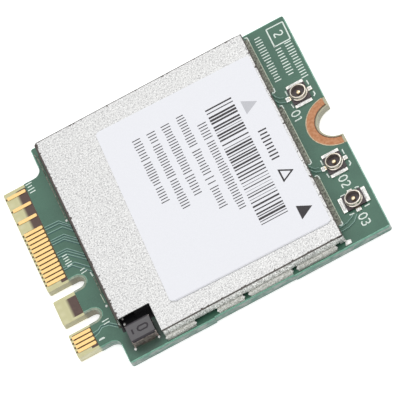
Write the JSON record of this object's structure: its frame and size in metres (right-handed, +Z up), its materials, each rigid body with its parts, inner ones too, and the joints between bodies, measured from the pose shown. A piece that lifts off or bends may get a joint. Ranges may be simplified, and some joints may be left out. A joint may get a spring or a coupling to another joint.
{
  "type": "laptop wifi card",
  "caption": "Plug-in laptop radio card: gold contacts on a keyed tongue, a folded tin shield under a paper label, round antenna sockets and a half-round screw notch",
  "frame": {"origin": "centre of the card's outline, in the plane of the underside of the circuit board", "axes": "+X from the contact tongue to the screw notch, +Y across the card with the key slots on the -Y half, +Z up out of the face that carries the shield"},
  "size_m": [0.03, 0.026, 0.0022],
  "materials": {
    "green_board": "semi-gloss green coating on glass-fibre laminate",
    "gold_plate": "thin gold plating",
    "bare_copper": "dull bare copper",
    "tinned_sheet": "satin tin plating",
    "label_paper": "matt coated paper",
    "black_moulding": "fine matt moulding",
    "chip_resin": "matt moulded resin",
    "ferrite_grey": "matt pressed powder",
    "soldered_end": "solder-coated",
    "module_ceramic": "matt",
    "capacitor_tan": "matt"
  },
  "bodies": {
    "root": {"antenna_socket_1_insulator": "black_moulding", "antenna_socket_1_pin": "gold_plate", "antenna_socket_1_shell": "gold_plate", "antenna_socket_2_insulator": "black_moulding", "antenna_socket_2_pin": "gold_plate", "antenna_socket_2_shell": "gold_plate", "antenna_socket_3_insulator": "black_moulding", "antenna_socket_3_pin": "gold_plate", "antenna_socket_3_shell": "gold_plate", "capacitor_1": "capacitor_tan", "capacitor_2": "capacitor_tan", "capacitor_3": "capacitor_tan", "circuit_board": "green_board", "contact_01": "gold_plate", "contact_02": "gold_plate", "contact_03": "gold_plate", "contact_04": "gold_plate", "contact_05": "gold_plate", "contact_06": "gold_plate", "contact_07": "gold_plate", "contact_16": "gold_plate", "contact_18": "gold_plate", "contact_33": "gold_plate", "contact_35": "gold_plate", "contact_37": "gold_plate", "contact_39": "gold_plate", "contact_41": "gold_plate", "contact_43": "gold_plate", "contact_44": "gold_plate", "contact_45": "gold_plate", "contact_46": "gold_plate", "contact_47": "gold_plate", "contact_48": "gold_plate", "contact_49": "gold_plate", "contact_50": "gold_plate", "contact_51": "gold_plate", "contact_52": "gold_plate", "contact_53": "gold_plate", "contact_54": "gold_plate", "contact_55": "gold_plate", "contact_56": "gold_plate", "contact_57": "gold_plate", "contact_63": "gold_plate", "contact_69": "gold_plate", "contact_72": "gold_plate", "contact_74": "gold_plate", "contact_75": "gold_plate", "front_end_module_1": "module_ceramic", "front_end_module_2": "module_ceramic", "front_end_module_3": "module_ceramic", "inductor_core": "ferrite_grey", "inductor_terminal_back": "soldered_end", "inductor_terminal_front": "soldered_end", "memory_chip": "chip_resin", "paper_label": "label_paper", "radio_chip": "chip_resin", "reference_crystal": "tinned_sheet", "screw_land_top": "bare_copper", "screw_land_underside": "bare_copper", "shield_can": "tinned_sheet"}
  },
  "joints": []
}
